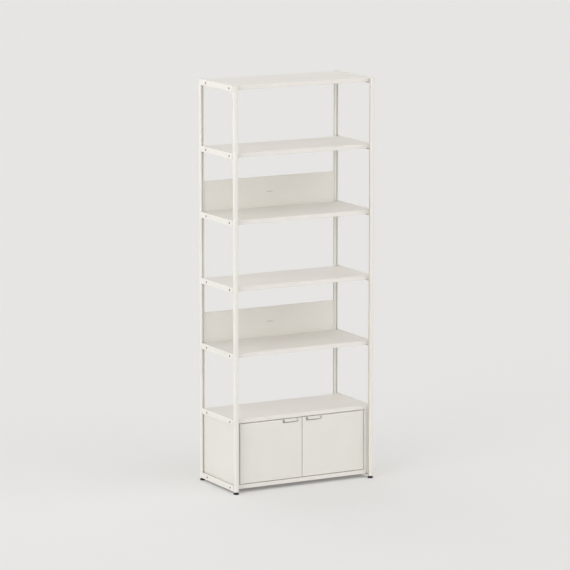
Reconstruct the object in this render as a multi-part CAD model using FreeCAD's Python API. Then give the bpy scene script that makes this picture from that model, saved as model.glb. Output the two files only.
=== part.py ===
import FreeCAD, Part
import math
import os

# Seven-level metal bookcase with a two-door cabinet at the bottom.
# Millimetres, +Z up, -Y is the front. The origin is on the floor, under the
# middle of the footprint. Pieces of the left side are drawn first and
# mirrored to the right; "left" is -X.

# ---- overall -----------------------------------------------------------
WIDTH = 830.0               # over the outer faces of the posts
DEPTH = 405.0
LEVELS = 7                  # level 1 is the top shelf, level 7 the lowest
PITCH = 350.0               # from one level's screw line to the next
GROUND_CLEARANCE = 12.5     # floor to the underside of posts and rails

# ---- posts: extruded profile with a T-slot in each inner face ----------
POST_SIZE = 23.0
POST_RADIUS = 6.0           # rounded corners of the profile
POST_CORNER_BORE = 2.5      # lightening bore behind the outer corner
POST_BORE_WALL = 0.95       # between that bore and the core bore
SLOT_MOUTH = 7.0            # width of the slot's opening
SLOT_LIP = 1.8              # wall left beside the mouth
SLOT_FLOOR = 5.3            # from the face to the bottom of the slot
SLOT_CORNER_WALL = 0.8      # wall between the two slots where they come closest
SLOT_WIDTH = POST_SIZE - 2 * (SLOT_FLOOR + SLOT_CORNER_WALL)    # behind the lips
CAP_PLATE = 2.0             # cover plate on top of the post
CAP_PLUG = 12.0
CAP_EDGE = 0.8

# ---- side rails: web flush with the posts, flange along the bottom ------
RAIL_HEIGHT = 33.0
RAIL_WEB = 2.5
RAIL_FLANGE = 13.5          # reach of the bottom flange from the outer face
RAIL_BEND = 1.0             # inner radius
CONNECTOR_LENGTH = 18.0     # block in each rail end
CONNECTOR_TOP = 12.0        # above the screw line
HEAD_THICKNESS = 2.9        # hammer head inside the slot
HEAD_FIT = 0.3              # clearance of the head on each side
HEAD_WIDTH = SLOT_WIDTH - 2 * HEAD_FIT
FIT = 0.2                   # clearance of pieces that slide together

# ---- shelf screws -------------------------------------------------------
SCREW_FROM_FRONT = 59.0
SCREW_FROM_BACK = 84.0
SCREW_RADIUS = 2.5
SCREW_HEAD_RADIUS = 5.5
SCREW_HEAD_DEPTH = 2.5      # countersunk, flush with the rail
SCREW_LENGTH = 16.0
SOCKET_FLATS = 3.2          # hexagon socket across flats
SOCKET_DEPTH = 1.9
STANDOFF_RADIUS = 4.6
STANDOFF_SPIGOT = 3.4
RIVET_HEAD_RADIUS = 4.6
RIVET_HEAD = 1.2
SCREW_FIT = 0.05

# ---- shelves: folded sheet ---------------------------------------------
SHELF_SHEET = 1.5
SHELF_TOP = 14.0            # above the screw line
SHELF_LIP = 22.0            # height of the down-turned lips
LIP_BEHIND_POST = 7.0
SHELF_SETBACK = POST_SIZE + LIP_BEHIND_POST    # lip behind the posts' front (and back) faces
LIP_RETURN = 16.0           # flange folded in under each lip
SIDE_FLANGE_INSET = 14.0    # side flange from the outer face of the posts
SIDE_RETURN = 12.0
CONNECTOR_WIDTH = SIDE_FLANGE_INSET - RAIL_WEB - FIT    # fills the rail up to the flange's plane
CORNER_RADIUS = 3.0         # where a lip turns into the side flange
CORNER_RELIEF = 2.0         # notch between the lip's return and the side's
BEND = 1.0                  # inner bend radius of folded sheet
SHEET_GAP = 0.3             # between sheets that only lie close

# ---- back panels --------------------------------------------------------
PANEL_SHEET = 1.2
PANEL_DEPTH = 9.0           # folded edge, centred on the back posts' slots
PANEL_FOOT = -8.0           # lower edge against the screw line
PANEL_TOP = 175.0           # upper edge above the screw line
PANEL_LEVELS = (3, 5)
PANEL_RETURN = 8.0
PANEL_SCREW_INSET = 30.0    # screw from the panel's upper and lower edge
PANEL_SCREW_RADIUS = 2.0
PANEL_SCREW_HEAD = 3.2
PANEL_SCREW_HEAD_HEIGHT = 2.0
NUT_LENGTH = 10.2           # of the slot nuts, along the post

# ---- cabinet between the two lowest levels ------------------------------
CABINET_SHEET = 1.2
SIDE_PANEL_RETURN = 15.0
JAMB_FACE = 26.0            # width of the door frame beside each door
JAMB_RETURN = 12.0          # folded in beside the door
JAMB_FOOT = 25.0            # leg of the jamb against the side panel
RIVET_RADIUS = 2.0
SMALL_RIVET_HEAD = 3.6
SMALL_RIVET_RISE = 1.0
RIVET_TAIL = 3.0
SIDE_RIVET_INSET = 92.0     # from the posts' front and back faces

# ---- doors ---------------------------------------------------------------
DOOR_THICKNESS = 16.0
DOOR_SHEET = 1.2
DOOR_GAP = 3.2
DOOR_RADIUS = 2.0
DOOR_RETURN = 12.0
PIVOT_INSET = 8.0           # hinge axis from the door's outer edge
PIVOT_SETBACK = 7.0         # hinge axis behind the door's front face
PIN_RADIUS = 3.0
PIN_HEAD_RADIUS = 5.0
PIN_HEAD = 2.0
PIN_REACH = 9.0             # of the pin inside the door
COLLAR_FIT = 0.2            # under the bush that stands on the lower pin's collar
PIN_SEAT_FIT = 0.02
PIVOT_FIT = 0.05            # radial running clearance
BUSH_RADIUS = 4.6
BUSH_FLANGE_RADIUS = 5.5
BUSH_FLANGE = 1.0
BUSH_LENGTH = 8.0
PIN_COLLAR = DOOR_GAP - BUSH_FLANGE - COLLAR_FIT

# ---- handles: a tab leaning out over a recess with sloping ends ----------
HANDLE_LENGTH = 72.0        # of the tab
HANDLE_FROM_SPLIT = 34.0    # inner end from the middle of the cabinet
HANDLE_DROP = 14.5          # lower edge under the door's top
HANDLE_REACH = 6.0          # lower edge in front of the door
HANDLE_SHEET = 1.5
TAB_CORNER = 3.0            # rounded lower corners
TAB_FIT = 0.5               # beside the tab, where it passes the door's fold
RECESS_MARGIN = 12.0        # mouth of the recess beyond each end of the tab
RECESS_RUN = 9.0            # run of the sloping ends
RECESS_DEPTH = 10.5         # behind the door's front sheet
RECESS_FOOT = 20.6          # lower edge of the mouth under the door's top
HANDLE_RIVET_SPACING = 50.0

# ---- door stop and magnets -----------------------------------------------
STOP_LENGTH = 120.0
STOP_SHEET = 1.5
STOP_DROP = 42.5
STOP_LEG = 16.0
MAGNET_LENGTH = 24.0
MAGNET_HEIGHT = 9.0
MAGNET_THICKNESS = 3.8
MAGNET_FROM_SPLIT = 18.0

# ---- levelling feet ------------------------------------------------------
PAD_RADIUS = 14.0
PAD_HEIGHT = 8.0
PAD_EDGE = 1.2
STEM_RADIUS = 4.0
STEM_FIT = 0.05
STEM_DEPTH = 30.0           # of the stem inside the post
STEM_FLANGE_RADIUS = 6.5
STEM_FLANGE = 2.0
STEM_FOOT = 3.0             # of the stem inside the pad

LEFT = -WIDTH / 2
FRONT = -DEPTH / 2
BACK = DEPTH / 2
TOP = GROUND_CLEARANCE + RAIL_HEIGHT + PITCH * (LEVELS - 1)
SHELF_BOTTOM = SHELF_TOP - SHELF_LIP
X_AXIS = FreeCAD.Vector(1, 0, 0)
Y_AXIS = FreeCAD.Vector(0, 1, 0)
Z_AXIS = FreeCAD.Vector(0, 0, 1)


def line_z(level):
    """Height of a level's screw line above the floor."""
    return GROUND_CLEARANCE + RAIL_HEIGHT / 2 + PITCH * (LEVELS - level)


# ---- helpers --------------------------------------------------------------
def box(x0, x1, y0, y1, z0, z1):
    corner = FreeCAD.Vector(min(x0, x1), min(y0, y1), min(z0, z1))
    return Part.makeBox(abs(x1 - x0), abs(y1 - y0), abs(z1 - z0), corner)


def rod(radius, start, length, direction):
    return Part.makeCylinder(radius, length, FreeCAD.Vector(*start), direction)


def cone(radius0, radius1, start, length, direction):
    return Part.makeCone(radius0, radius1, length, FreeCAD.Vector(*start), direction)


def fuse(shapes):
    whole = shapes[0].multiFuse(shapes[1:]) if len(shapes) > 1 else shapes[0]
    return whole.removeSplitter()


def mirror_x(shape):
    return shape.mirror(FreeCAD.Vector(0, 0, 0), X_AXIS)


def mirror_y(shape):
    return shape.mirror(FreeCAD.Vector(0, 0, 0), Y_AXIS)


def front_edges(shape, y):
    """Edges that lie wholly in the plane at y."""
    return [e for e in shape.Edges if e.BoundBox.YMax < y + 1e-3]


def edges_at_height(shape, z):
    return [e for e in shape.Edges if e.BoundBox.ZMin > z - 1e-3]


def hexagon(flats, centre, length, direction):
    """Hexagonal prism from centre along direction."""
    across = flats / math.sqrt(3)
    side = Y_AXIS if abs(direction.x) > 0.5 else X_AXIS
    other = direction.cross(side)
    middle = FreeCAD.Vector(*centre)
    points = []
    for corner in range(7):
        turn = math.radians(60 * corner)
        points.append(middle + side * (across * math.cos(turn)) + other * (across * math.sin(turn)))
    return Part.Face(Part.makePolygon(points)).extrude(direction * length)


def strip_edges(points, thickness, bend):
    """Edges of a folded strip's section, in (u, v).

    The path runs along one face of the sheet and the metal lies to its
    right. Each corner gets the inner radius bend on its hollow side.
    """
    near, far = [], []
    last = len(points) - 1
    for index, (u, v) in enumerate(points):
        before = points[index - 1] if index > 0 else None
        after = points[index + 1] if index < last else None
        if before is None or after is None:
            here, there = (points[0], points[1]) if before is None else (points[-2], points[-1])
            du, dv = unit(here, there)
            near.append(("point", (u, v)))
            far.append(("point", (u + dv * thickness, v - du * thickness)))
            continue
        in_u, in_v = unit(before, (u, v))
        out_u, out_v = unit((u, v), after)
        cross = in_u * out_v - in_v * out_u
        turn_right = cross < 0
        radius = bend + thickness if turn_right else bend
        far_radius = bend if turn_right else bend + thickness
        half = abs(math.atan2(cross, in_u * out_u + in_v * out_v)) / 2
        reach = radius * math.tan(half)
        side = -1.0 if turn_right else 1.0
        start = (u - in_u * reach, v - in_v * reach)
        end = (u + out_u * reach, v + out_v * reach)
        centre = (start[0] - side * in_v * radius, start[1] + side * in_u * radius)
        to_corner = unit(centre, (u, v))
        near.append(("arc", start, along(centre, to_corner, radius), end))
        far.append(("arc", along(centre, unit(centre, start), far_radius),
                    along(centre, to_corner, far_radius),
                    along(centre, unit(centre, end), far_radius)))
    return near, far


def unit(start, end):
    du, dv = end[0] - start[0], end[1] - start[1]
    size = math.hypot(du, dv)
    return du / size, dv / size


def along(start, direction, distance):
    return start[0] + direction[0] * distance, start[1] + direction[1] * distance


def chain(items, place):
    """Part edges through a list of points and arcs."""
    edges, last = [], None
    for item in items:
        first = place(item[1])
        if last is not None and last.distanceToPoint(first) > 1e-6:
            edges.append(Part.LineSegment(last, first).toShape())
        if item[0] == "arc":
            edges.append(Part.Arc(first, place(item[2]), place(item[3])).toShape())
            last = place(item[3])
        else:
            last = first
    return edges


def folded(points, thickness, bend, place, sweep):
    """Folded sheet: a strip section placed in space and swept straight."""
    near, far = strip_edges(points, thickness, bend)
    back = []
    for item in reversed(far):
        back.append((item[0],) + tuple(reversed(item[1:])))
    outline = near + back + [near[0]]
    wire = Part.Wire(chain(outline, place))
    return Part.Face(wire).extrude(sweep)


def in_yz(x):
    return lambda p: FreeCAD.Vector(x, p[0], p[1])


def in_xz(y):
    return lambda p: FreeCAD.Vector(p[0], y, p[1])


def in_xy(z):
    return lambda p: FreeCAD.Vector(p[0], p[1], z)


# ---- posts ------------------------------------------------------------------
def rounded_square(z, height):
    """The post's outline, front left."""
    block = box(LEFT, LEFT + POST_SIZE, FRONT, FRONT + POST_SIZE, z, z + height)
    upright = [e for e in block.Edges if abs(e.tangentAt(e.FirstParameter).z) > 0.9]
    return block.makeFillet(POST_RADIUS, upright)


def slot_cutter(height):
    """T-slot in the post's inner +Y face, front left."""
    middle = LEFT + POST_SIZE / 2
    face = FRONT + POST_SIZE
    mouth = box(middle - SLOT_MOUTH / 2, middle + SLOT_MOUTH / 2, face - SLOT_LIP - 1, face + 1,
                GROUND_CLEARANCE, GROUND_CLEARANCE + height)
    chamber = box(middle - SLOT_WIDTH / 2, middle + SLOT_WIDTH / 2, face - SLOT_FLOOR, face - SLOT_LIP,
                  GROUND_CLEARANCE, GROUND_CLEARANCE + height)
    return fuse([mouth, chamber])


def post():
    """Front left post; its slots face back and inward."""
    height = TOP - CAP_PLATE - GROUND_CLEARANCE
    profile = rounded_square(GROUND_CLEARANCE, height)
    back_slot = slot_cutter(height)
    centre = (LEFT + POST_SIZE / 2, FRONT + POST_SIZE / 2, GROUND_CLEARANCE)
    inner_slot = back_slot.copy()
    inner_slot.rotate(FreeCAD.Vector(*centre), Z_AXIS, -90)
    core = rod(STEM_RADIUS + STEM_FIT, centre, height, Z_AXIS)
    outward = (STEM_RADIUS + STEM_FIT + POST_BORE_WALL + POST_CORNER_BORE) / math.sqrt(2)
    corner = (centre[0] - outward, centre[1] - outward, GROUND_CLEARANCE)
    lightening = rod(POST_CORNER_BORE, corner, height, Z_AXIS)
    return profile.cut(back_slot).cut(inner_slot).cut(core).cut(lightening)


def post_cap():
    plate = rounded_square(TOP - CAP_PLATE, CAP_PLATE)
    plate = plate.makeFillet(CAP_EDGE, edges_at_height(plate, TOP))
    start = (LEFT + POST_SIZE / 2, FRONT + POST_SIZE / 2, TOP - CAP_PLATE - CAP_PLUG)
    return fuse([plate, rod(STEM_RADIUS, start, CAP_PLUG, Z_AXIS)])


# ---- side rails ----------------------------------------------------------------
def screw_places():
    return FRONT + SCREW_FROM_FRONT, BACK - SCREW_FROM_BACK


def countersink(z, y, grow):
    """Screw hole through the rail's web with its conical seat."""
    seat = cone(SCREW_HEAD_RADIUS, SCREW_RADIUS, (LEFT, y, z), SCREW_HEAD_DEPTH, X_AXIS)
    hole = rod(SCREW_RADIUS + grow, (LEFT, y, z), RAIL_WEB + 1, X_AXIS)
    return fuse([seat, hole])


def side_rail(level):
    z = line_z(level)
    low, high = z - RAIL_HEIGHT / 2, z + RAIL_HEIGHT / 2
    path = [(LEFT + RAIL_FLANGE, low), (LEFT, low), (LEFT, high)]
    length = DEPTH - 2 * POST_SIZE
    rail = folded(path, RAIL_WEB, RAIL_BEND, in_xz(FRONT + POST_SIZE), Y_AXIS * length)
    for y in screw_places():
        rail = rail.cut(countersink(z, y, SCREW_FIT))
    return rail


def rail_connector(level):
    """Block in the rail's front end with its hammer head in the post's slot."""
    z = line_z(level)
    low = z - RAIL_HEIGHT / 2 + RAIL_WEB
    high = z + CONNECTOR_TOP
    face = FRONT + POST_SIZE
    middle = LEFT + POST_SIZE / 2
    web = LEFT + RAIL_WEB
    block = box(web, web + CONNECTOR_WIDTH, face, face + CONNECTOR_LENGTH, low, high)
    in_bend = [e for e in block.Edges if e.BoundBox.XMax < web + 1e-3 and e.BoundBox.ZMax < low + 1e-3]
    block = block.makeChamfer(RAIL_BEND, in_bend)
    neck_half = SLOT_MOUTH / 2 - FIT
    deep = face - SLOT_LIP
    neck = box(middle - neck_half, web + CONNECTOR_WIDTH, deep, face, low, high)
    head = box(middle - HEAD_WIDTH / 2, middle + HEAD_WIDTH / 2, deep - HEAD_THICKNESS, deep, low, high)
    return fuse([block, neck, head])


def shelf_screw(level, y):
    z = line_z(level)
    head = cone(SCREW_HEAD_RADIUS, SCREW_RADIUS, (LEFT, y, z), SCREW_HEAD_DEPTH, X_AXIS)
    shank = rod(SCREW_RADIUS, (LEFT, y, z), SCREW_LENGTH, X_AXIS)
    socket = hexagon(SOCKET_FLATS, (LEFT, y, z), SOCKET_DEPTH, X_AXIS)
    return fuse([head, shank]).cut(socket)


def standoff(level, y):
    """Sleeve between rail and shelf, riveted into the shelf's side flange."""
    z = line_z(level)
    start, flange = LEFT + RAIL_WEB, LEFT + SIDE_FLANGE_INSET
    through = flange + SHELF_SHEET
    body = rod(STANDOFF_RADIUS, (start, y, z), flange - start, X_AXIS)
    spigot = rod(STANDOFF_SPIGOT, (flange, y, z), SHELF_SHEET, X_AXIS)
    head = rod(RIVET_HEAD_RADIUS, (through, y, z), RIVET_HEAD, X_AXIS)
    bore = rod(SCREW_RADIUS + SCREW_FIT, (start, y, z), through + RIVET_HEAD - start, X_AXIS)
    return fuse([body, spigot, head]).cut(bore)


# ---- shelves ----------------------------------------------------------------------
def shelf_tray(z):
    """Top sheet with the front and back lips and their returns."""
    low, high = z + SHELF_BOTTOM, z + SHELF_TOP
    y0, y1 = FRONT + SHELF_SETBACK, BACK - SHELF_SETBACK
    path = [(y0 + LIP_RETURN, low), (y0, low), (y0, high), (y1, high), (y1, low), (y1 - LIP_RETURN, low)]
    end = LEFT + SIDE_FLANGE_INSET + CORNER_RADIUS
    return folded(path, SHELF_SHEET, BEND, in_yz(end), X_AXIS * (-2 * end))


def side_flange_start():
    """Where the side flange begins, behind the front lip's return."""
    return FRONT + SHELF_SETBACK + LIP_RETURN + CORNER_RELIEF


def lip_corner(z):
    """The front lip turns round into the line of the side flange."""
    low, high = z + SHELF_BOTTOM, z + SHELF_TOP - SHELF_SHEET
    x0, y0 = LEFT + SIDE_FLANGE_INSET, FRONT + SHELF_SETBACK
    path = [(x0 + CORNER_RADIUS + BEND, y0), (x0, y0), (x0, side_flange_start())]
    return folded(path, SHELF_SHEET, CORNER_RADIUS - SHELF_SHEET, in_xy(low), Z_AXIS * (high - low))


def side_wing(z):
    """Top sheet out to the rail, with the side flange under it."""
    x0 = LEFT + RAIL_WEB + SHEET_GAP
    x1 = LEFT + SIDE_FLANGE_INSET + CORNER_RADIUS
    y0, y1 = FRONT + SHELF_SETBACK, BACK - SHELF_SETBACK
    high = z + SHELF_TOP
    sheet = box(x0, x1, y0 + SHELF_SHEET, y1 - SHELF_SHEET, high - SHELF_SHEET, high)
    low = z + SHELF_BOTTOM
    flange_x = LEFT + SIDE_FLANGE_INSET
    path = [(flange_x + SIDE_RETURN, low), (flange_x, low), (flange_x, high - SHELF_SHEET)]
    start = side_flange_start()
    flange = folded(path, SHELF_SHEET, BEND, in_xz(start), Y_AXIS * (-2 * start))
    return [sheet, flange]


def shelf(level):
    z = line_z(level)
    left_pieces = side_wing(z) + [lip_corner(z), mirror_y(lip_corner(z))]
    right_pieces = [mirror_x(piece) for piece in left_pieces]
    whole = fuse([shelf_tray(z)] + left_pieces + right_pieces)
    for y in screw_places():
        start = (LEFT + SIDE_FLANGE_INSET - 1, y, z)
        hole = rod(STANDOFF_SPIGOT, start, SHELF_SHEET + 2, X_AXIS)
        whole = whole.cut(hole).cut(mirror_x(hole))
    return whole


# ---- back panels ---------------------------------------------------------------------
def panel_plane():
    """Front face of the back panels, on the middle of the back posts."""
    return BACK - POST_SIZE / 2 - PANEL_DEPTH / 2


def panel_tray(low, high):
    """Panel with folded edges between the back posts."""
    x0 = LEFT + POST_SIZE + SHEET_GAP
    y0, y1 = panel_plane(), panel_plane() + PANEL_DEPTH
    outer = box(x0, -x0, y0, y1, low, high)
    skin = PANEL_SHEET
    hollow = box(x0 + skin, -x0 - skin, y0 + skin, y1 - skin, low + skin, high - skin)
    rim = PANEL_RETURN
    window = box(x0 + rim, -x0 - rim, y1 - skin - 1, y1 + 1, low + rim, high - rim)
    return outer.makeFillet(BEND, front_edges(outer, y0)).cut(hollow).cut(window)


def panel_screw_heights(low, high):
    return low + PANEL_SCREW_INSET, high - PANEL_SCREW_INSET


def panel_with_holes(low, high):
    panel = panel_tray(low, high)
    x0 = LEFT + POST_SIZE + SHEET_GAP
    y = BACK - POST_SIZE / 2
    for z in panel_screw_heights(low, high):
        hole = rod(PANEL_SCREW_RADIUS + SCREW_FIT, (x0 - 1, y, z), PANEL_SHEET + 2, X_AXIS)
        panel = panel.cut(hole).cut(mirror_x(hole))
    return panel


def panel_span(level):
    z = line_z(level)
    return z + PANEL_FOOT, z + PANEL_TOP


def cabinet_back_span():
    return line_z(LEVELS) + PANEL_FOOT, line_z(LEVELS - 1) + SHELF_BOTTOM


def panel_screw(z):
    """Screw from the panel's folded edge into a nut in the left back post."""
    y = BACK - POST_SIZE / 2
    inside = LEFT + POST_SIZE + SHEET_GAP + PANEL_SHEET
    tip = LEFT + POST_SIZE - SLOT_FLOOR + FIT
    shank = rod(PANEL_SCREW_RADIUS, (tip, y, z), inside - tip, X_AXIS)
    head = rod(PANEL_SCREW_HEAD, (inside, y, z), PANEL_SCREW_HEAD_HEIGHT, X_AXIS)
    return fuse([shank, head])


def slot_nut(z):
    """Nut behind the lips of the left back post's inner slot."""
    y = BACK - POST_SIZE / 2
    outer = LEFT + POST_SIZE - SLOT_LIP
    half, reach = HEAD_WIDTH / 2, NUT_LENGTH / 2
    block = box(outer - HEAD_THICKNESS, outer, y - half, y + half, z - reach, z + reach)
    bore = rod(PANEL_SCREW_RADIUS + SCREW_FIT, (outer - HEAD_THICKNESS - 1, y, z), HEAD_THICKNESS + 2, X_AXIS)
    return block.cut(bore)


# ---- cabinet ----------------------------------------------------------------------------
def cabinet_span():
    """From the lowest shelf's top to the underside of the shelf above."""
    return line_z(LEVELS) + SHELF_TOP, line_z(LEVELS - 1) + SHELF_BOTTOM


def rivet(start, direction, grip):
    """Rivet through two sheets; start is on the outer sheet's face."""
    middle = FreeCAD.Vector(*start)
    head = Part.makeCylinder(SMALL_RIVET_HEAD, SMALL_RIVET_RISE, middle, direction * -1)
    shank = Part.makeCylinder(RIVET_RADIUS, grip, middle, direction)
    tail = Part.makeCylinder(RIVET_TAIL, SMALL_RIVET_RISE, middle + direction * grip, direction)
    return fuse([head, shank, tail])


def rivet_hole(start, direction, grip):
    middle = FreeCAD.Vector(*start) - direction
    return Part.makeCylinder(RIVET_RADIUS, grip + 2, middle, direction)


def side_rivets():
    """Left side panel: rivets up into shelf 6 and down into shelf 7."""
    low, high = cabinet_span()
    x = LEFT + SIDE_FLANGE_INSET + SIDE_RETURN / 2 + SHELF_SHEET
    grip = CABINET_SHEET + SHELF_SHEET
    places = []
    for y in (FRONT + SIDE_RIVET_INSET, BACK - SIDE_RIVET_INSET):
        places.append(((x, y, high - CABINET_SHEET), Z_AXIS, grip))
        places.append(((x, y, low + CABINET_SHEET), Z_AXIS * -1, grip))
    return places


def cut_rivets(shape, places):
    for start, direction, grip in places:
        shape = shape.cut(rivet_hole(start, direction, grip))
    return shape


def cabinet_side():
    low, high = cabinet_span()
    x = LEFT + SIDE_FLANGE_INSET
    path = [(x + SIDE_PANEL_RETURN, low), (x, low), (x, high), (x + SIDE_PANEL_RETURN, high)]
    start = FRONT + POST_SIZE + SHEET_GAP
    panel = folded(path, CABINET_SHEET, BEND, in_xz(start), Y_AXIS * (-2 * start))
    corner = box(x + CABINET_SHEET, x + SIDE_PANEL_RETURN + 1, start - 1, jamb_back(), low - 1, high + 1)
    return cut_rivets(panel.cut(corner), side_rivets())


def jamb_back():
    """Where the side panel's returns begin, behind the jamb."""
    return FRONT + SHELF_SETBACK + JAMB_FOOT + SHEET_GAP


def jamb_span():
    """The door frame's face, from the side panel to the door's gap."""
    outer = LEFT + SIDE_FLANGE_INSET + CABINET_SHEET
    return outer, outer + JAMB_FACE


def door_jamb():
    low, high = cabinet_span()
    x0, x1 = jamb_span()
    y0 = FRONT + SHELF_SETBACK
    path = [(x1, y0 + JAMB_RETURN), (x1, y0), (x0, y0), (x0, y0 + JAMB_FOOT)]
    return folded(path, CABINET_SHEET, BEND, in_xy(low), Z_AXIS * (high - low))


# ---- doors ----------------------------------------------------------------------------------
def door_span():
    low, high = cabinet_span()
    return low + DOOR_GAP, high - DOOR_GAP


def door_edges():
    """Outer and inner upright edges of the left door."""
    return jamb_span()[1] + DOOR_GAP, -DOOR_GAP / 2


def pivot():
    return door_edges()[0] + PIVOT_INSET, FRONT + SHELF_SETBACK + PIVOT_SETBACK


def tab_span():
    return -HANDLE_FROM_SPLIT - HANDLE_LENGTH, -HANDLE_FROM_SPLIT


def recess_span():
    """The recess's mouth: its ends in X, its lower and upper edges in Z."""
    x0, x1 = tab_span()
    top = door_span()[1]
    return x0 - RECESS_MARGIN, x1 + RECESS_MARGIN, top - RECESS_FOOT, top - DOOR_SHEET - HANDLE_SHEET


def handle_rivets():
    x0, x1 = tab_span()
    middle, half = (x0 + x1) / 2, HANDLE_RIVET_SPACING / 2
    y = FRONT + SHELF_SETBACK + DOOR_SHEET + RECESS_DEPTH / 2
    top = door_span()[1]
    grip = DOOR_SHEET + HANDLE_SHEET
    return [((x, y, top - grip), Z_AXIS, grip) for x in (middle - half, middle + half)]


def door():
    """Left door: folded tray, open at the back inside a rim."""
    x0, x1 = door_edges()
    y0 = FRONT + SHELF_SETBACK
    y1 = y0 + DOOR_THICKNESS
    low, high = door_span()
    outer = box(x0, x1, y0, y1, low, high)
    bends = front_edges(outer, y0)
    outer = outer.makeFillet(DOOR_RADIUS, bends)
    skin = DOOR_SHEET
    hollow = box(x0 + skin, x1 - skin, y0 + skin, y1 - skin, low + skin, high - skin)
    rim = DOOR_RETURN
    window = box(x0 + rim, x1 - rim, y1 - skin - 1, y1 + 1, low + rim, high - rim)
    tray = outer.cut(hollow).cut(window)
    for z in (low - 1, high - skin - 1):
        tray = tray.cut(rod(BUSH_RADIUS, pivot() + (z,), skin + 2, Z_AXIS))
    m0, m1, foot, head = recess_span()
    mouth = box(m0, m1, y0 - 1, y0 + skin, foot, head)
    t0, t1 = tab_span()
    notch = box(t0 - TAB_FIT, t1 + TAB_FIT, y0 - 1, y0 + DOOR_RADIUS, head, high + 1)
    return cut_rivets(tray.cut(mouth).cut(notch), handle_rivets())


def recess_block(wall):
    """The recess as a block whose ends slope inward, grown by a wall."""
    m0, m1, foot, head = recess_span()
    face = FRONT + SHELF_SETBACK + DOOR_SHEET
    side = wall * math.hypot(RECESS_RUN, RECESS_DEPTH) / RECESS_DEPTH
    depth = RECESS_DEPTH + wall
    run = RECESS_RUN * depth / RECESS_DEPTH
    x0, x1 = m0 - side, m1 + side
    plan = [(x0, face), (x1, face), (x1 - run, face + depth), (x0 + run, face + depth), (x0, face)]
    points = [FreeCAD.Vector(x, y, foot - wall) for x, y in plan]
    return Part.Face(Part.makePolygon(points)).extrude(Z_AXIS * (head - foot + 2 * wall))


def handle_tab():
    """Folded strip: a leg in the recess's roof and a plate leaning out."""
    t0, t1 = tab_span()
    top = door_span()[1]
    seat = top - DOOR_SHEET
    y0 = FRONT + SHELF_SETBACK
    path = [(y0 - HANDLE_REACH, top - HANDLE_DROP), (y0 + BEND, seat), (y0 + DOOR_SHEET + RECESS_DEPTH, seat)]
    tab = folded(path, HANDLE_SHEET, BEND, in_yz(t0), X_AXIS * (t1 - t0))
    low = top - HANDLE_DROP + HANDLE_SHEET
    corner_edges = [e for e in tab.Edges if e.BoundBox.ZMax < low and e.BoundBox.XLength < 1e-3]
    return tab.makeFillet(TAB_CORNER, corner_edges)


def door_handle():
    """Recessed pull: a pan behind the door's front sheet, and its tab."""
    pan = recess_block(HANDLE_SHEET).cut(recess_block(0.0))
    return cut_rivets(fuse([pan, handle_tab()]), handle_rivets())


def hinge_pins():
    """Left door: a pin down from shelf 6's return, one up from shelf 7."""
    low, high = cabinet_span()
    door_low, door_high = door_span()
    axis = pivot()
    top_seat = high + SHELF_SHEET
    top_tip = door_high - PIN_REACH
    top_pin = fuse([rod(PIN_RADIUS, axis + (top_tip,), top_seat - top_tip, Z_AXIS),
                    rod(PIN_HEAD_RADIUS, axis + (top_seat,), PIN_HEAD, Z_AXIS)])
    low_seat = low - SHELF_SHEET
    low_tip = door_low + PIN_REACH
    low_pin = fuse([rod(PIN_RADIUS, axis + (low_seat,), low_tip - low_seat, Z_AXIS),
                    rod(PIN_HEAD_RADIUS, axis + (low_seat - PIN_HEAD,), PIN_HEAD, Z_AXIS),
                    rod(PIN_HEAD_RADIUS, axis + (low,), PIN_COLLAR, Z_AXIS)])
    return [top_pin, low_pin]


def hinge_bushes():
    """Left door: flanged bushes in its top and bottom folds."""
    door_low, door_high = door_span()
    axis = pivot()
    bushes = []
    for edge, outward in ((door_high, 1.0), (door_low, -1.0)):
        inward = Z_AXIS * -outward
        flange = rod(BUSH_FLANGE_RADIUS, axis + (edge,), BUSH_FLANGE, Z_AXIS * outward)
        body = rod(BUSH_RADIUS, axis + (edge,), BUSH_LENGTH, inward)
        start = axis + (edge + outward * (BUSH_FLANGE + 1),)
        bore = rod(PIN_RADIUS + PIVOT_FIT, start, BUSH_LENGTH + BUSH_FLANGE + 2, inward)
        bushes.append(fuse([flange, body]).cut(bore))
    return bushes


def pin_holes(level):
    """Holes for the pins in shelf 6's front return and in shelf 7's top."""
    low, high = cabinet_span()
    z = high if level == LEVELS - 1 else low - SHELF_SHEET
    hole = rod(PIN_RADIUS + PIN_SEAT_FIT, pivot() + (z - 1,), SHELF_SHEET + 2, Z_AXIS)
    return [hole, mirror_x(hole)]


def cabinet_shelf(level):
    """Shelf 6 or 7, with the holes for the cabinet's pins and rivets."""
    whole = shelf(level)
    for hole in pin_holes(level):
        whole = whole.cut(hole)
    upward = level == LEVELS - 1
    for start, direction, grip in side_rivets():
        if (direction.z > 0) is upward:
            hole = rivet_hole(start, direction, grip)
            whole = whole.cut(hole).cut(mirror_x(hole))
    return whole


# ---- door stop -----------------------------------------------------------------------------
def stop_plane():
    """Front face of the stop's web, behind the magnets."""
    return FRONT + SHELF_SETBACK + DOOR_THICKNESS + SHEET_GAP + MAGNET_THICKNESS


def door_stop():
    sheet = line_z(LEVELS - 1) + SHELF_TOP - SHELF_SHEET
    y0 = stop_plane()
    path = [(y0, sheet - STOP_DROP), (y0, sheet), (y0 + STOP_LEG, sheet)]
    return folded(path, STOP_SHEET, BEND, in_yz(-STOP_LENGTH / 2), X_AXIS * STOP_LENGTH)


def magnet():
    """Left magnet, on the stop's front face behind the door's top rim."""
    x1 = -MAGNET_FROM_SPLIT
    y1 = stop_plane()
    middle = door_span()[1] - DOOR_RETURN / 2
    return box(x1 - MAGNET_LENGTH, x1, y1 - MAGNET_THICKNESS, y1,
               middle - MAGNET_HEIGHT / 2, middle + MAGNET_HEIGHT / 2)


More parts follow.
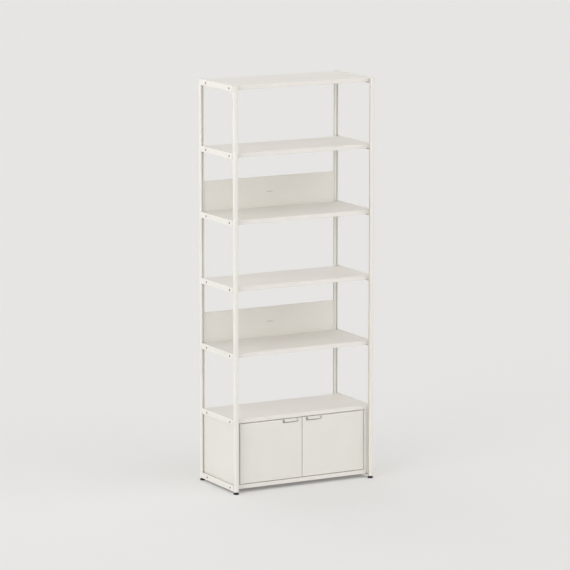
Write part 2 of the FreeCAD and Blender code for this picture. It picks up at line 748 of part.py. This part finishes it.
# ---- levelling feet ----------------------------------------------------------------------------
def foot_pad():
    centre = (LEFT + POST_SIZE / 2, FRONT + POST_SIZE / 2, 0)
    disc = rod(PAD_RADIUS, centre, PAD_HEIGHT, Z_AXIS)
    disc = disc.makeFillet(PAD_EDGE, edges_at_height(disc, PAD_HEIGHT))
    start = centre[:2] + (PAD_HEIGHT - STEM_FOOT,)
    return disc.cut(rod(STEM_RADIUS, start, STEM_FOOT + 1, Z_AXIS))


def foot_stem():
    centre = (LEFT + POST_SIZE / 2, FRONT + POST_SIZE / 2)
    bottom = PAD_HEIGHT - STEM_FOOT
    length = GROUND_CLEARANCE + STEM_DEPTH - bottom
    stem = rod(STEM_RADIUS, centre + (bottom,), length, Z_AXIS)
    flange = hexagon(2 * STEM_FLANGE_RADIUS, centre + (PAD_HEIGHT,), STEM_FLANGE, Z_AXIS)
    return fuse([stem, flange])


# ---- nodes ----------------------------------------------------------------------------------------
def both_sides(shapes):
    return list(shapes) + [mirror_x(shape) for shape in shapes]


def corners(name, shape):
    """One node at each corner, mirrored from the front left one."""
    return {
        name + "_front_left": [shape],
        name + "_front_right": [mirror_x(shape)],
        name + "_back_left": [mirror_y(shape)],
        name + "_back_right": [mirror_x(mirror_y(shape))],
    }


def every_corner(shape):
    return both_sides([shape, mirror_y(shape)])


def frame_nodes():
    nodes = {}
    nodes.update(corners("post", post()))
    nodes["post_caps"] = every_corner(post_cap())
    for level in range(1, LEVELS + 1):
        rail = side_rail(level)
        nodes["side_rail_left_%d" % level] = [rail]
        nodes["side_rail_right_%d" % level] = [mirror_x(rail)]
        in_cabinet = level >= LEVELS - 1
        nodes["shelf_%d" % level] = [cabinet_shelf(level) if in_cabinet else shelf(level)]
    return nodes


def fastener_nodes():
    connectors, screws, standoffs = [], [], []
    for level in range(1, LEVELS + 1):
        connectors += every_corner(rail_connector(level))
        for y in screw_places():
            screws += both_sides([shelf_screw(level, y)])
            standoffs += both_sides([standoff(level, y)])
    panel_screws, nuts = [], []
    spans = [panel_span(level) for level in PANEL_LEVELS] + [cabinet_back_span()]
    for low, high in spans:
        for z in panel_screw_heights(low, high):
            panel_screws += both_sides([panel_screw(z)])
            nuts += both_sides([slot_nut(z)])
    rivets = [rivet(*place) for place in side_rivets()]
    tabs = [rivet(*place) for place in handle_rivets()]
    return {"rail_connectors": connectors, "shelf_screws": screws, "shelf_standoffs": standoffs,
            "panel_screws": panel_screws, "panel_slot_nuts": nuts, "cabinet_rivets": both_sides(rivets),
            "handle_rivets_left": tabs, "handle_rivets_right": [mirror_x(tab) for tab in tabs]}


def cabinet_nodes():
    nodes = {"back_panel_upper": [panel_with_holes(*panel_span(PANEL_LEVELS[0]))],
             "back_panel_lower": [panel_with_holes(*panel_span(PANEL_LEVELS[1]))],
             "cabinet_back": [panel_with_holes(*cabinet_back_span())],
             "door_stop": [door_stop()],
             "catch_magnets": both_sides([magnet()])}
    pairs = {"cabinet_side": [cabinet_side()], "door_jamb": [door_jamb()], "door": [door()],
             "door_handle": [door_handle()], "hinge_pins": hinge_pins(), "hinge_bushes": hinge_bushes()}
    for name, shapes in pairs.items():
        nodes[name + "_left"] = shapes
        nodes[name + "_right"] = [mirror_x(shape) for shape in shapes]
    return nodes


def foot_nodes():
    nodes = corners("foot_pad", foot_pad())
    nodes.update(corners("foot_stem", foot_stem()))
    return nodes


def main():
    os.makedirs("parts", exist_ok=True)
    nodes = {}
    for group in (frame_nodes(), fastener_nodes(), cabinet_nodes(), foot_nodes()):
        nodes.update(group)
    for name, shapes in sorted(nodes.items()):
        shape = shapes[0] if len(shapes) == 1 else Part.makeCompound(shapes)
        shape.exportStep("parts/%s.step" % name)
        bounds = shape.BoundBox
        print("%-24s solids %2d valid %s volume %10.1f  z %.1f..%.1f" % (
            name, len(shape.Solids), shape.isValid(), shape.Volume, bounds.ZMin, bounds.ZMax))
    print(len(nodes), "nodes")


main()
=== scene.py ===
import math

import bpy
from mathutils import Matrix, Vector


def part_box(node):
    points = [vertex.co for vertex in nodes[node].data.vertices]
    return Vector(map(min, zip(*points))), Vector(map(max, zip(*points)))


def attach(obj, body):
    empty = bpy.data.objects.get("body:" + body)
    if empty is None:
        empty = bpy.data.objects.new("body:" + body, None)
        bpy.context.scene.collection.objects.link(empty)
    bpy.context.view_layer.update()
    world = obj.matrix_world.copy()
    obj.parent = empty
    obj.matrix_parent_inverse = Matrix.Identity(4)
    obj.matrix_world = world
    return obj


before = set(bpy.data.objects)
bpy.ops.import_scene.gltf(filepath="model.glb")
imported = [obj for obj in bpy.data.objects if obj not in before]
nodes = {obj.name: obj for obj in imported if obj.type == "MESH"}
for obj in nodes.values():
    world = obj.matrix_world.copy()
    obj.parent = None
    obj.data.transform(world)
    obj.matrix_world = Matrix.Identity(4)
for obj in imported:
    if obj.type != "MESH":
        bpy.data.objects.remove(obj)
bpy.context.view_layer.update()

# Camera: a long lens from the front left, looking down. Metres, degrees, lens in mm.
CAMERA_AT = (-8.6873, -15.9739, 4.2378)
CAMERA_PITCH = 9.9514
CAMERA_YAW = 28.5123
CAMERA_LENS = 221.09
CAMERA_SENSOR = 36.0
CAMERA_REACH = 400.0

# Linear colours.
COAT = (0.778, 0.756, 0.705)
# The shelves' coat is COAT made a little lighter and warmer: painted warm light from above, as the shelf
# tops show it.
SHELF_COAT_PAINTED_LIGHT = (0.791, 0.760, 0.712)
BACKDROP = (0.791, 0.783, 0.768)
SCREW_BLACK = (0.065, 0.064, 0.062)
SCREW_WORN = (0.105, 0.103, 0.100)
BLACK = (0.012, 0.012, 0.012)
THREAD_RIDGE = (0.06, 0.06, 0.06)
ZINC = (0.60, 0.60, 0.585)
NICKEL = (0.52, 0.52, 0.50)
BADGE = (0.61, 0.61, 0.59)
NYLON = (0.80, 0.80, 0.77)

# Noise scales, in features per metre, from clouds to fine grain.
PAPER_CLOUDS = 3.0
MOTTLE = 7.0
PLASTIC_WEAR = 45.0
COAT_WEAR = 60.0
COAT_SWELL = 110.0
METAL_WEAR = 260.0
STEM_WEAR = 300.0
PAPER_GRAIN = 400.0
SCREW_WEAR = 700.0
METAL_GRAIN = 900.0
PLASTIC_GRAIN = 1300.0
COAT_PEEL = 1900.0
RIVET_PEEL = 2600.0

THREAD_SCALE = 250.0    # of the wave that draws the stem's thread

# The part of a noise's range that colours and roughness follow.
NOISE_LOW = 0.3
NOISE_HIGH = 0.7

EDGE_SAMPLES = 6


# ---- node tools -------------------------------------------------------------
class Nodes:
    """A material's node tree with short calls for making and joining nodes."""

    def __init__(self, name):
        self.material = bpy.data.materials.new(name)
        self.material.use_nodes = True
        self.tree = self.material.node_tree
        self.shader = self.tree.nodes["Principled BSDF"]

    def add(self, kind, **values):
        """New node; a value is a property's, or else an input's with that name."""
        node = self.tree.nodes.new(kind)
        for key, value in values.items():
            if hasattr(node, key):
                setattr(node, key, value)
            else:
                node.inputs[key.replace("_", " ")].default_value = value
        return node

    def join(self, source, target):
        self.tree.links.new(source, target)

    def set(self, **values):
        for key, value in values.items():
            self.shader.inputs[key.replace("_", " ")].default_value = value

    def position(self):
        return self.add("ShaderNodeTexCoord").outputs["Object"]

    def noise(self, scale, detail=2.0):
        node = self.add("ShaderNodeTexNoise", Scale=scale, Detail=detail, Roughness=0.5)
        self.join(self.position(), node.inputs["Vector"])
        return node.outputs["Fac"]

    def span(self, value, low, high, to_low, to_high):
        node = self.add("ShaderNodeMapRange")
        node.inputs["From Min"].default_value = low
        node.inputs["From Max"].default_value = high
        node.inputs["To Min"].default_value = to_low
        node.inputs["To Max"].default_value = to_high
        self.join(value, node.inputs["Value"])
        return node.outputs["Result"]

    def ramp(self, value, *stops):
        """Colour ramp with two stops of place and colour."""
        node = self.add("ShaderNodeValToRGB")
        for element, (place, colour) in zip(node.color_ramp.elements, stops):
            element.position = place
            element.color = tuple(colour) + (1.0,)
        self.join(value, node.inputs["Fac"])
        return node.outputs["Color"]

    def shades(self, value, colour, darker, lighter):
        """The colour, darker or lighter with the noise."""
        return self.ramp(value, (NOISE_LOW, shade(colour, darker)), (NOISE_HIGH, shade(colour, lighter)))

    def colour(self, source):
        self.join(source, self.shader.inputs["Base Color"])

    def roughness(self, noise, low, high):
        self.join(self.span(noise, NOISE_LOW, NOISE_HIGH, low, high), self.shader.inputs["Roughness"])

    def bump(self, heights, edge=0.0):
        """Stacks (height, strength, distance) bumps on a softened edge."""
        last = None
        if edge:
            last = self.add("ShaderNodeBevel", samples=EDGE_SAMPLES, Radius=edge).outputs["Normal"]
        for height, strength, distance in heights:
            node = self.add("ShaderNodeBump", Strength=strength, Distance=distance)
            self.join(height, node.inputs["Height"])
            if last is not None:
                self.join(last, node.inputs["Normal"])
            last = node.outputs["Normal"]
        self.join(last, self.shader.inputs["Normal"])


def shade(colour, factor):
    return tuple(min(1.0, channel * factor) for channel in colour)


def seen_rays(tree):
    """1 for the rays that show the background: camera, glossy and transmission."""
    path = tree.nodes.new("ShaderNodeLightPath")
    seen = path.outputs["Is Camera Ray"]
    for name in ("Is Glossy Ray", "Is Transmission Ray"):
        either = tree.nodes.new("ShaderNodeMath")
        either.operation = "MAXIMUM"
        tree.links.new(seen, either.inputs[0])
        tree.links.new(path.outputs[name], either.inputs[1])
        seen = either.outputs["Value"]
    return seen


# ---- materials ----------------------------------------------------------------
def powder_coat(name, colour, edge, grain=COAT_PEEL, roughness=0.46):
    """Fine powder coat: orange peel, a slight mottle and soft edges."""
    n = Nodes(name)
    n.set(IOR=1.5)
    n.colour(n.shades(n.noise(MOTTLE, 4.0), colour, 0.985, 1.01))
    n.roughness(n.noise(COAT_WEAR, 3.0), roughness - 0.03, roughness + 0.04)
    n.bump([(n.noise(COAT_SWELL), 0.02, 0.0004), (n.noise(grain), 0.06, 0.00008)], edge)
    return n.material


def metal(name, colour, roughness):
    n = Nodes(name)
    n.set(Metallic=1.0)
    fine = n.noise(METAL_GRAIN, 3.0)
    n.colour(n.shades(fine, colour, 0.9, 1.08))
    n.roughness(n.noise(METAL_WEAR), roughness - 0.06, roughness + 0.08)
    n.bump([(fine, 0.08, 0.00005)], 0.0002)
    return n.material


def blackened(name):
    """Dark grey coating of the shelf screws."""
    n = Nodes(name)
    n.set(IOR=1.5)
    worn = n.noise(SCREW_WEAR, 3.0)
    n.colour(n.ramp(worn, (0.35, SCREW_BLACK), (0.75, SCREW_WORN)))
    n.roughness(worn, 0.38, 0.52)
    n.bump([(worn, 0.05, 0.00004)], 0.0002)
    return n.material


def plastic(name, colour, roughness):
    n = Nodes(name)
    n.set(IOR=1.48)
    fine = n.noise(PLASTIC_GRAIN)
    n.colour(n.shades(fine, colour, 0.93, 1.05))
    n.roughness(n.noise(PLASTIC_WEAR), roughness - 0.05, roughness + 0.06)
    n.bump([(fine, 0.1, 0.00006)], 0.0004)
    return n.material


def threaded(name):
    """Black stem: the thread is a band of ridges along Z."""
    n = Nodes(name)
    n.set(Metallic=0.7)
    wave = n.add("ShaderNodeTexWave", Scale=THREAD_SCALE, Distortion=0.0)
    wave.wave_type = "BANDS"
    wave.bands_direction = "Z"
    n.join(n.position(), wave.inputs["Vector"])
    ridges = wave.outputs["Fac"]
    n.colour(n.ramp(ridges, (0.2, BLACK), (0.8, THREAD_RIDGE)))
    n.roughness(n.noise(STEM_WEAR), 0.35, 0.5)
    n.bump([(ridges, 0.5, 0.0004)])
    return n.material


coat_post = powder_coat("coat_post", COAT, edge=0.0004)
coat_rail = powder_coat("coat_rail", COAT, edge=0.0006)
# Shelf sheets take the lighter, warmer coat: painted warm light from above.
coat_shelf = powder_coat("coat_shelf", SHELF_COAT_PAINTED_LIGHT, edge=0.0008)
coat_panel = powder_coat("coat_panel", COAT, edge=0.0008)
# Doors: the same coat made 2.5 % darker, painted shade.
coat_door = powder_coat("coat_door", shade(COAT, 0.975), edge=0.0006)
# Handle tabs: the same coat made 7 % darker, painted shade.
coat_handle = powder_coat("coat_handle", shade(COAT, 0.93), edge=0.0004)
# Cabinet sides: the same coat made 5 % darker, painted shade.
coat_side = powder_coat("coat_side", shade(COAT, 0.95), edge=0.0008)
coat_rivet = powder_coat("coat_rivet", shade(COAT, 0.95), edge=0.0003, grain=RIVET_PEEL)
cap_white = plastic("cap_white", COAT, 0.42)
zinc = metal("zinc_plate", ZINC, 0.36)
nickel = metal("nickel_plate", NICKEL, 0.28)
screw_black = blackened("screw_black")
nylon = plastic("nylon_white", NYLON, 0.38)
foot_black = plastic("foot_black", BLACK, 0.42)
stem_black = threaded("stem_black")
badge_metal = metal("badge_metal", BADGE, 0.48)

# The first prefix that a node's name starts with gives its material.
PREFIXES = [
    ("post_caps", cap_white),
    ("post_", coat_post),
    ("side_rail", coat_rail),
    ("shelf_screws", screw_black),
    ("shelf_standoffs", zinc),
    ("rail_connectors", coat_rail),
    ("shelf_", coat_shelf),
    ("back_panel", coat_panel),
    ("cabinet_back", coat_panel),
    ("cabinet_side", coat_side),
    ("cabinet_rivets", coat_rivet),
    ("handle_rivets", coat_rivet),
    ("door_handle", coat_handle),
    ("door_", coat_door),
    ("hinge_pins", zinc),
    ("hinge_bushes", nylon),
    ("catch_magnets", nickel),
    ("panel_", zinc),
    ("foot_pad", foot_black),
    ("foot_stem", stem_black),
]


def dress(node):
    for prefix, material in PREFIXES:
        if node.name.startswith(prefix):
            node.data.materials.clear()
            node.data.materials.append(material)
            return
    raise RuntimeError("no material for " + node.name)


for node in nodes.values():
    dress(node)


# ---- badges -------------------------------------------------------------------
BADGE_LENGTH = 0.036
BADGE_HEIGHT = 0.005
BADGE_THICKNESS = 0.0008
BADGE_BEVEL = 0.0002
BADGE_BEVEL_STEPS = 2
BADGE_ARC_STEPS = 12


def badge(name, panel, shelf):
    """Plain plate with round ends, in the middle of a back panel's visible part."""
    low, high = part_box(panel)
    middle = (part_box(shelf)[1].z + high.z) / 2
    radius = BADGE_HEIGHT / 2
    outline = []
    for end, start_angle in ((1, -90), (-1, 90)):
        centre = end * (BADGE_LENGTH / 2 - radius)
        for step in range(BADGE_ARC_STEPS + 1):
            angle = math.radians(start_angle + 180 * step / BADGE_ARC_STEPS)
            outline.append((centre + radius * math.cos(angle), middle + radius * math.sin(angle)))
    count = len(outline)
    front, back = low.y - BADGE_THICKNESS, low.y
    points = [(x, front, z) for x, z in outline] + [(x, back, z) for x, z in outline]
    faces = [tuple(range(count)), tuple(reversed(range(count, 2 * count)))]
    for here in range(count):
        there = (here + 1) % count
        faces.append((here, here + count, there + count, there))
    mesh = bpy.data.meshes.new(name)
    mesh.from_pydata(points, [], faces)
    mesh.materials.append(badge_metal)
    plate = bpy.data.objects.new(name, mesh)
    bpy.context.scene.collection.objects.link(plate)
    edge = plate.modifiers.new("edge", "BEVEL")
    edge.width = BADGE_BEVEL
    edge.segments = BADGE_BEVEL_STEPS
    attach(plate, "frame")


badge("badge_upper", "back_panel_upper", "shelf_3")
badge("badge_lower", "back_panel_lower", "shelf_5")


# ---- floor --------------------------------------------------------------------
PAPER = shade(BACKDROP, 1 / max(BACKDROP))    # the backdrop's hue, as light as it goes
FLOOR_ALBEDO = 0.8     # for the light that it sends to the object
FLOOR_SHOWN = 0.706    # as it is seen, with the glow
FLOOR_GLOW = 0.18      # its own light for the rays that see it, which keeps its shadows pale
FLOOR_HALF = 60.0


def floor_material():
    n = Nodes("floor_paper")
    n.set(Roughness=0.9, Specular_IOR_Level=0.0, Emission_Color=BACKDROP + (1.0,))
    seen = seen_rays(n.tree)
    paper = n.add("ShaderNodeVectorMath", operation="SCALE")
    n.join(n.shades(n.noise(PAPER_CLOUDS, 3.0), PAPER, 0.996, 1.0), paper.inputs[0])
    n.join(n.span(seen, 0.0, 1.0, FLOOR_ALBEDO, FLOOR_SHOWN), paper.inputs["Scale"])
    n.colour(paper.outputs["Vector"])
    n.join(n.span(seen, 0.0, 1.0, 0.0, FLOOR_GLOW), n.shader.inputs["Emission Strength"])
    n.bump([(n.noise(PAPER_GRAIN), 0.02, 0.0002)])
    return n.material


mesh = bpy.data.meshes.new("floor")
corners = [(x * FLOOR_HALF, y * FLOOR_HALF, 0.0) for x, y in ((-1, -1), (1, -1), (1, 1), (-1, 1))]
mesh.from_pydata(corners, [], [(0, 1, 2, 3)])
mesh.materials.append(floor_material())
floor = bpy.data.objects.new("floor", mesh)
bpy.context.scene.collection.objects.link(floor)


# ---- light ----------------------------------------------------------------------
# Soft light from all round, about even on every side. Each lobe is azimuth (0 is
# the front, 90 the right side), elevation, sharpness, and strength along its axis.
SKY = 0.25
LOBES = [
    (-90, 10, 3.0, 0.98),
    (45, 10, 3.0, 1.2),
    (180, 10, 3.0, 1.45),
    (0, 50, 3.0, 0.5),
    (-60, 2, 20.0, 5.1),
    (120, 2, 20.0, 2.1),
]
# A weak soft box, high on the left. Its level is the light that it gives its aim.
KEY_FROM = (-80, 40)
KEY_AIM = (0.0, 0.0, 1.0)
KEY_DISTANCE = 2.6
KEY_SIZE = 1.6
KEY_LEVEL = 0.042


def towards(azimuth, elevation):
    """Unit vector from the object to that azimuth and elevation, in degrees."""
    turn, rise = math.radians(azimuth), math.radians(elevation)
    return Vector((math.sin(turn) * math.cos(rise), -math.cos(turn) * math.cos(rise), math.sin(rise)))


class Sky:
    """World shader; the camera and reflections see the backdrop instead."""

    def __init__(self):
        world = bpy.data.worlds.new("studio")
        bpy.context.scene.world = world
        world.use_nodes = True
        self.tree = world.node_tree
        self.direction = self.tree.nodes.new("ShaderNodeTexCoord").outputs["Generated"]

    def math(self, operation, *values):
        node = self.tree.nodes.new("ShaderNodeMath")
        node.operation = operation
        for socket, value in zip(node.inputs, values):
            if isinstance(value, float):
                socket.default_value = value
            else:
                self.tree.links.new(value, socket)
        return node.outputs["Value"]

    def lobe(self, azimuth, elevation, sharpness, strength):
        dot = self.tree.nodes.new("ShaderNodeVectorMath")
        dot.operation = "DOT_PRODUCT"
        dot.inputs[1].default_value = towards(azimuth, elevation)
        self.tree.links.new(self.direction, dot.inputs[0])
        facing = self.math("MAXIMUM", dot.outputs["Value"], 0.0)
        return self.math("MULTIPLY", self.math("POWER", facing, sharpness), strength)

    def background(self, colour):
        node = self.tree.nodes.new("ShaderNodeBackground")
        node.inputs["Color"].default_value = colour + (1.0,)
        return node

    def build(self):
        total = SKY
        for values in LOBES:
            total = self.math("ADD", total, self.lobe(*values))
        light = self.background((1.0, 1.0, 1.0))
        self.tree.links.new(total, light.inputs["Strength"])
        mix = self.tree.nodes.new("ShaderNodeMixShader")
        self.tree.links.new(seen_rays(self.tree), mix.inputs["Fac"])
        self.tree.links.new(light.outputs["Background"], mix.inputs[1])
        self.tree.links.new(self.background(BACKDROP).outputs["Background"], mix.inputs[2])
        output = self.tree.nodes["World Output"]
        self.tree.links.new(mix.outputs["Shader"], output.inputs["Surface"])


def soft_box():
    lamp = bpy.data.lights.new("soft_box", "AREA")
    lamp.shape = "DISK"
    lamp.size = KEY_SIZE
    lamp.energy = KEY_LEVEL * (math.pi * KEY_DISTANCE) ** 2
    box = bpy.data.objects.new("soft_box", lamp)
    bpy.context.scene.collection.objects.link(box)
    way = towards(*KEY_FROM)
    box.location = Vector(KEY_AIM) + way * KEY_DISTANCE
    box.rotation_euler = way.to_track_quat("Z", "Y").to_euler()
    box.visible_camera = False
    box.visible_glossy = False


Sky().build()
soft_box()


# ---- camera ------------------------------------------------------------------------
lens = bpy.data.cameras.new("camera")
lens.lens = CAMERA_LENS
lens.sensor_width = CAMERA_SENSOR
lens.clip_end = CAMERA_REACH
camera = bpy.data.objects.new("camera", lens)
bpy.context.scene.collection.objects.link(camera)
camera.location = CAMERA_AT
camera.rotation_euler = (math.radians(90.0 - CAMERA_PITCH), 0.0, -math.radians(CAMERA_YAW))
bpy.context.scene.camera = camera

bpy.context.scene.view_settings.view_transform = "Standard"
